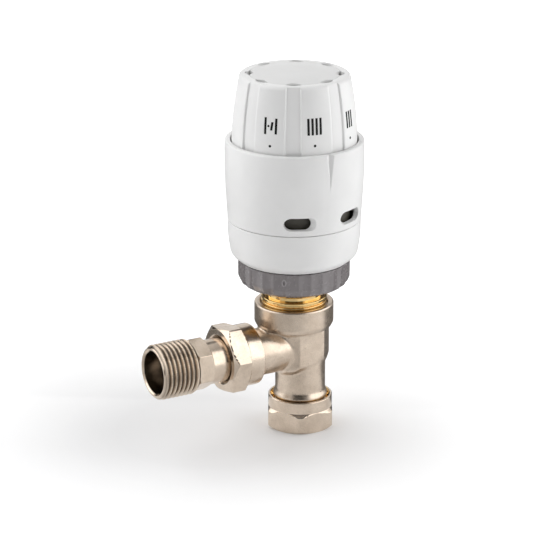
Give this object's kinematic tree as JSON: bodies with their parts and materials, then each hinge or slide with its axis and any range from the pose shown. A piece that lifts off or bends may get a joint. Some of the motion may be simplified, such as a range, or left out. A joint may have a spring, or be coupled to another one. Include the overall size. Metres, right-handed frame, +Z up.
{
  "type": "thermostatic radiator valve",
  "caption": "Angled thermostatic radiator valve with compression inlet, union tail and a turnable white sensor head with air windows.",
  "frame": {"origin": "centre of the inlet nut's bottom face, on the inlet pipe's axis", "axes": "+Z up along the inlet pipe and the head; the radiator tail points along -X; +Y away from the index notch"},
  "size_m": [0.0869, 0.0522, 0.1406],
  "materials": {
    "nickel": "satin nickel-plated brass, warm and slightly grainy",
    "bright_brass": "polished unplated brass",
    "plain_brass": "turned brass, satin",
    "steel": "stainless steel",
    "rubber": "black EPDM rubber",
    "white_plastic": "satin white moulded plastic",
    "grey_plastic": "mid-grey moulded plastic",
    "dark_plastic": "dark olive-grey moulded plastic",
    "natural_plastic": "natural acetal plastic"
  },
  "bodies": {
    "valve": {"valve_body": "nickel", "valve_insert": "bright_brass", "insert_o_ring": "rubber", "gland_nut": "plain_brass", "gland_o_ring": "rubber", "return_spring": "steel"},
    "stem": {"valve_stem": "steel", "stem_clip": "steel", "spring_cap": "steel", "plug_holder": "plain_brass", "seat_washer": "rubber", "washer_screw": "steel"},
    "olive": {"olive": "plain_brass"},
    "compression_nut": {"compression_nut": "nickel"},
    "tail": {"tailpiece": "nickel", "union_gasket": "rubber"},
    "union_nut": {"union_nut": "nickel"},
    "head": {"head_frame": "dark_plastic", "limit_pins": "natural_plastic", "lower_ring": "white_plastic", "outer_sleeve": "white_plastic", "thrust_washer": "natural_plastic", "knob_clip": "steel"},
    "locking_ring": {"locking_ring": "grey_plastic"},
    "knob": {"setting_knob": "white_plastic", "knob_cap": "white_plastic"},
    "element": {"element_carrier": "natural_plastic", "sensor_capsule": "steel", "bellows": "plain_brass", "sensor_piston": "steel", "overload_spring": "steel", "spring_cup": "natural_plastic", "push_rod": "natural_plastic", "capsule_clip": "steel"}
  },
  "joints": [
    {"name": "knob_turn", "type": "hinge", "parent": "head", "child": "knob", "pos_m": [-0.00287, 0, 0.12], "axis": [0, 0, 1], "range_deg": [-215.7, 54.3]},
    {"name": "element_feed", "type": "slide", "parent": "head", "child": "element", "axis": [0, 0, 1], "range_m": [-0.0024, 0.00061]},
    {"name": "stem_lift", "type": "slide", "parent": "valve", "child": "stem", "axis": [0, 0, 1], "range_m": [-0.0024, 0.00061], "deforming": ["return_spring"]},
    {"name": "locking_ring_turn", "type": "hinge", "parent": "head", "child": "locking_ring", "pos_m": [-0.00287, 0, 0.0628], "axis": [0, 0, 1], "range_deg": [0, 1442]},
    {"name": "head_lift", "type": "slide", "parent": "valve", "child": "head", "axis": [0, 0, 1], "range_m": [0, 0.006]},
    {"name": "union_nut_turn", "type": "hinge", "parent": "tail", "child": "union_nut", "pos_m": [-0.029, 0, 0.03264], "axis": [-1, 0, 0], "range_deg": [0, 1082]},
    {"name": "tail_slide", "type": "slide", "parent": "valve", "child": "tail", "axis": [-1, 0, 0], "range_m": [0, 0.00544]},
    {"name": "compression_nut_turn", "type": "hinge", "parent": "olive", "child": "compression_nut", "pos_m": [0, 0, 0.006], "axis": [0, 0, -1], "range_deg": [0, 902]},
    {"name": "olive_slide", "type": "slide", "parent": "valve", "child": "olive", "axis": [0, 0, -1], "range_m": [0, 0.00453]}
  ],
  "couplings": [
    {"joint": "element_feed", "follows": "knob_turn", "m_per_rad": 0.00063662},
    {"joint": "stem_lift", "follows": "knob_turn", "m_per_rad": 0.00063662},
    {"joint": "locking_ring_turn", "follows": "head_lift", "rad_per_m": 4188.8},
    {"joint": "union_nut_turn", "follows": "tail_slide", "rad_per_m": 3463.7},
    {"joint": "compression_nut_turn", "follows": "olive_slide", "rad_per_m": 3463.7}
  ]
}
